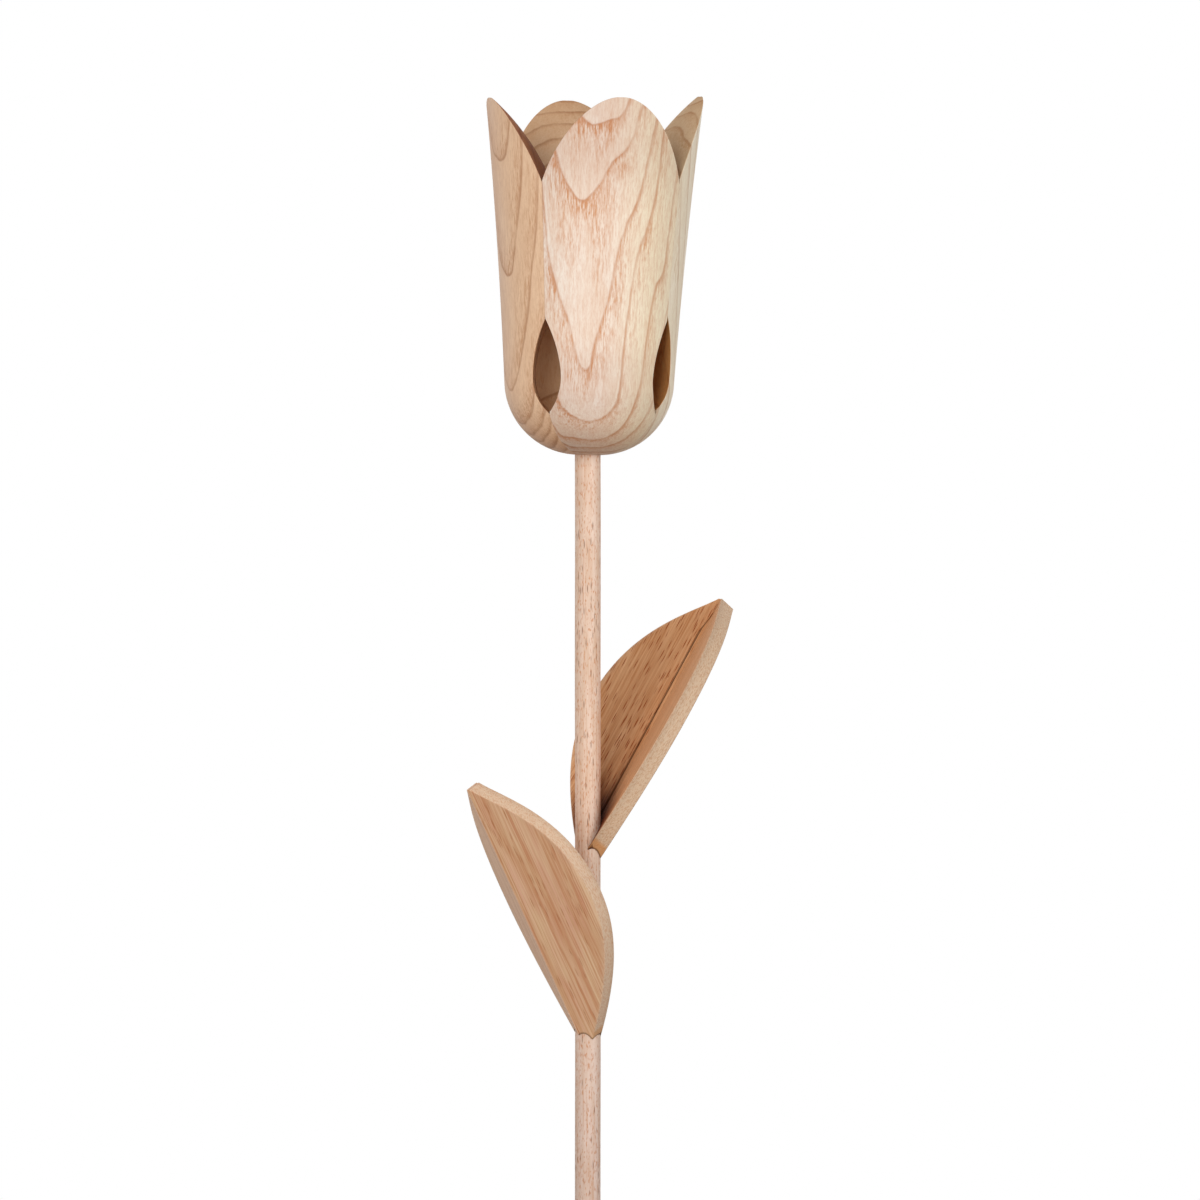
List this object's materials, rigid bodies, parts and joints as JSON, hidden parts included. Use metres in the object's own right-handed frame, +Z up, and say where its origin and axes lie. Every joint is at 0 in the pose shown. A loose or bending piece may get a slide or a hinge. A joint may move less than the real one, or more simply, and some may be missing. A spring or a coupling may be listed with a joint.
{
  "type": "turned wooden tulip",
  "caption": "Wooden tulip: a cup of glued, inside-out turned petals with open notches and windows, on a straight round stem with angled leaves.",
  "frame": {"origin": "centre of the stem's foot, in the plane of its sawn end", "axes": "+Z up along the stem towards the flower, +Y away from the viewer, +X to the viewer's right"},
  "size_m": [0.0513, 0.0445, 0.3401],
  "materials": {
    "petal_front_wood": "sanded, clear matt varnish",
    "petal_right_wood": "sanded, clear matt varnish",
    "petal_back_wood": "sanded, clear matt varnish",
    "petal_left_wood": "sanded, clear matt varnish",
    "stem_wood": "sanded dowel",
    "leaf_wood": "planed, clear matt varnish"
  },
  "bodies": {
    "root": {"petal_front": "petal_front_wood", "petal_right": "petal_right_wood", "petal_back": "petal_back_wood", "petal_left": "petal_left_wood", "stem": "stem_wood", "leaf_upper": "leaf_wood", "leaf_lower": "leaf_wood"}
  },
  "joints": []
}
